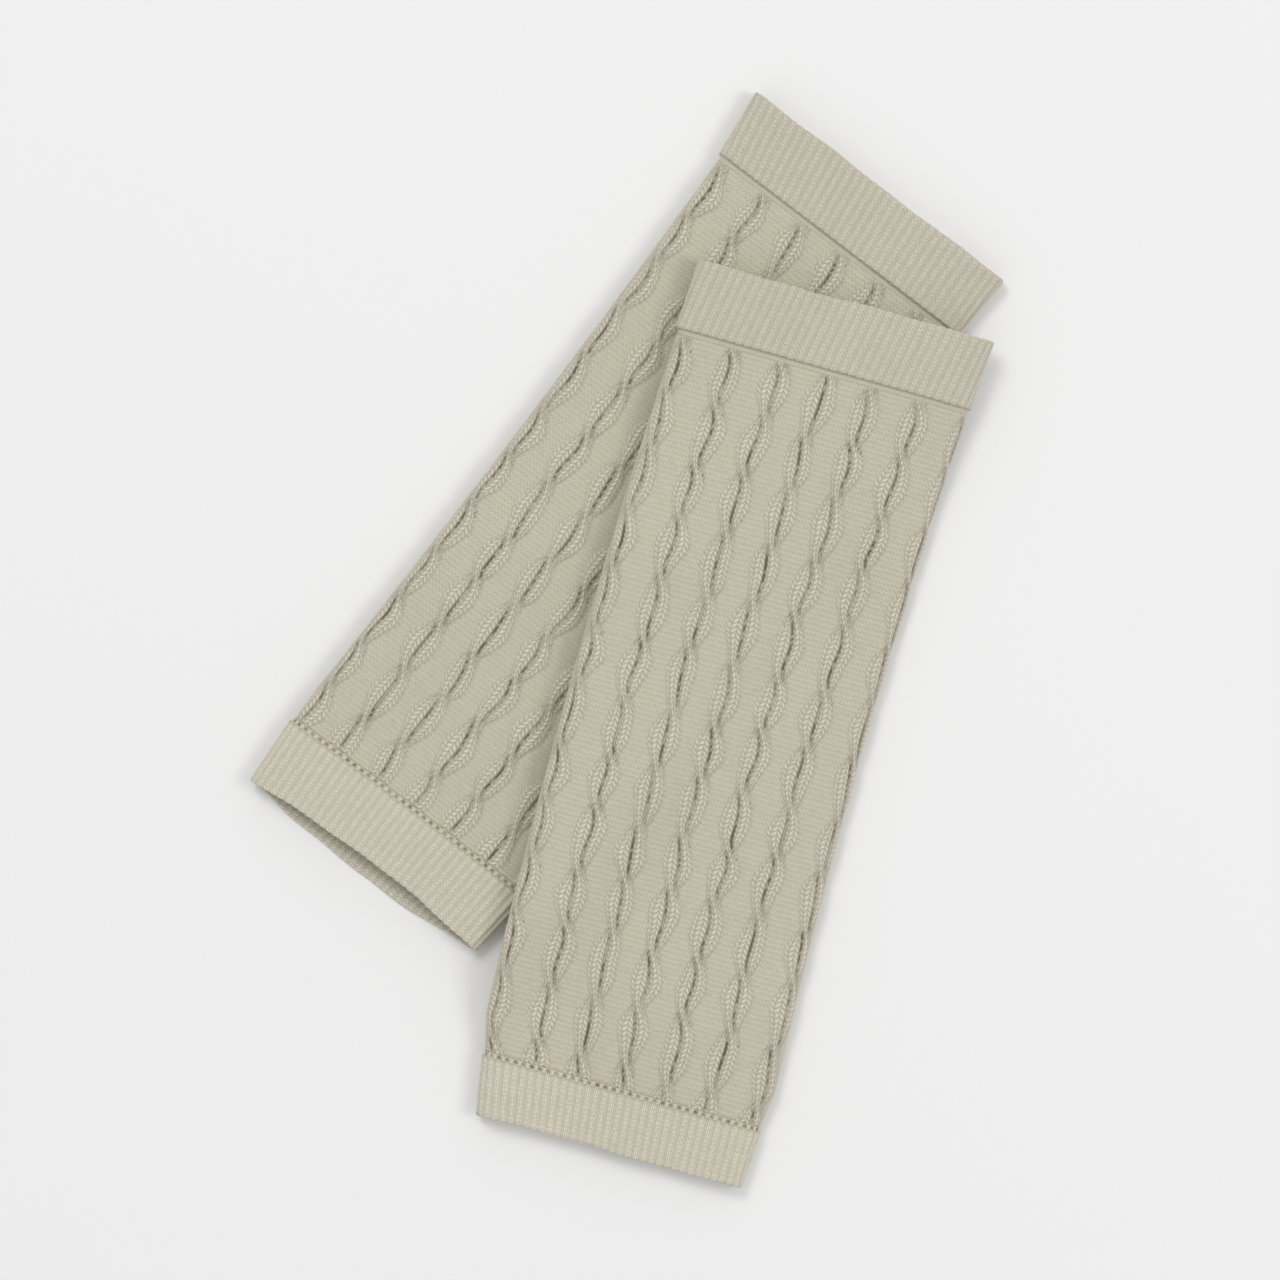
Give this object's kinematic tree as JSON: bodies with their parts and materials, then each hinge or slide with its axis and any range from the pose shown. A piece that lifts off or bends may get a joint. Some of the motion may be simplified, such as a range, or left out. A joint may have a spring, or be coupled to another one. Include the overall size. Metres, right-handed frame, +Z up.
{
  "type": "fingerless gloves",
  "caption": "Pair of knitted tube arm warmers with cable-relief sleeves and turned rib cuffs at both ends, laid crosswise, the front glove draped over the back one.",
  "frame": {"origin": "on the table, under the middle of the pair's bounding box", "axes": "+Y along the front glove from its narrow hem to its wide hem, +X to the right across the front glove seen from above, +Z up from the table"},
  "size_m": [0.2043, 0.3614, 0.0181],
  "materials": {
    "cable_knit": "matt fine-gauge cotton-blend knit with cable relief, oatmeal beige",
    "rib_knit": "matt one-by-one rib knit, oatmeal beige",
    "linking_yarn": "row of linking stitches in the same yarn, with small eyelets at the narrow end",
    "elastic_yarn": "covered elastane yarn"
  },
  "bodies": {
    "back_glove": {"back_sleeve": "cable_knit", "back_wide_cuff": "rib_knit", "back_narrow_cuff": "rib_knit", "back_wide_seam": "linking_yarn", "back_narrow_seam": "linking_yarn", "back_wide_elastic": "elastic_yarn", "back_narrow_elastic": "elastic_yarn"},
    "front_glove": {"front_sleeve": "cable_knit", "front_wide_cuff": "rib_knit", "front_narrow_cuff": "rib_knit", "front_wide_seam": "linking_yarn", "front_narrow_seam": "linking_yarn", "front_wide_elastic": "elastic_yarn", "front_narrow_elastic": "elastic_yarn"}
  },
  "joints": [
    {"name": "lift_off", "type": "slide", "parent": "back_glove", "child": "front_glove", "axis": [0, 0, 1], "range_m": [0, 0.08]}
  ]
}
